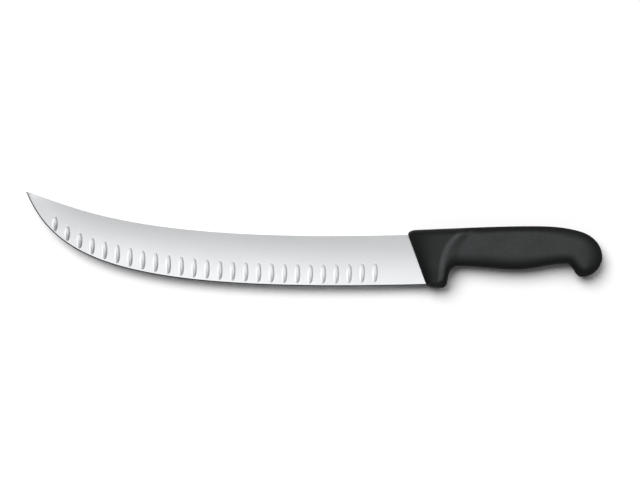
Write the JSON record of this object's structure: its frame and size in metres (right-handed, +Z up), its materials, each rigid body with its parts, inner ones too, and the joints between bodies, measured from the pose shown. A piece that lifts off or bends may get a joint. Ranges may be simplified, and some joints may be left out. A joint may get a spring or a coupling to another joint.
{
  "type": "butcher knife",
  "caption": "Curved butcher's knife with hollow flutes along the cutting edge, a hidden tang, and a moulded handle with a finger guard and a hooked pommel.",
  "frame": {"origin": "under the middle of the knife's bounding box, on the surface that it lies on", "axes": "+X from the blade's tip to the pommel, +Y from the cutting edge to the spine, +Z up out of the side that the picture shows"},
  "size_m": [0.4366, 0.073, 0.023],
  "materials": {
    "blade_steel": "fine satin grind, drawn across the blade, with polished cutting bevel",
    "handle_plastic": "black moulded nylon, smooth front collar and finely pebbled grip"
  },
  "bodies": {
    "root": {"blade": "blade_steel", "handle": "handle_plastic"}
  },
  "joints": []
}
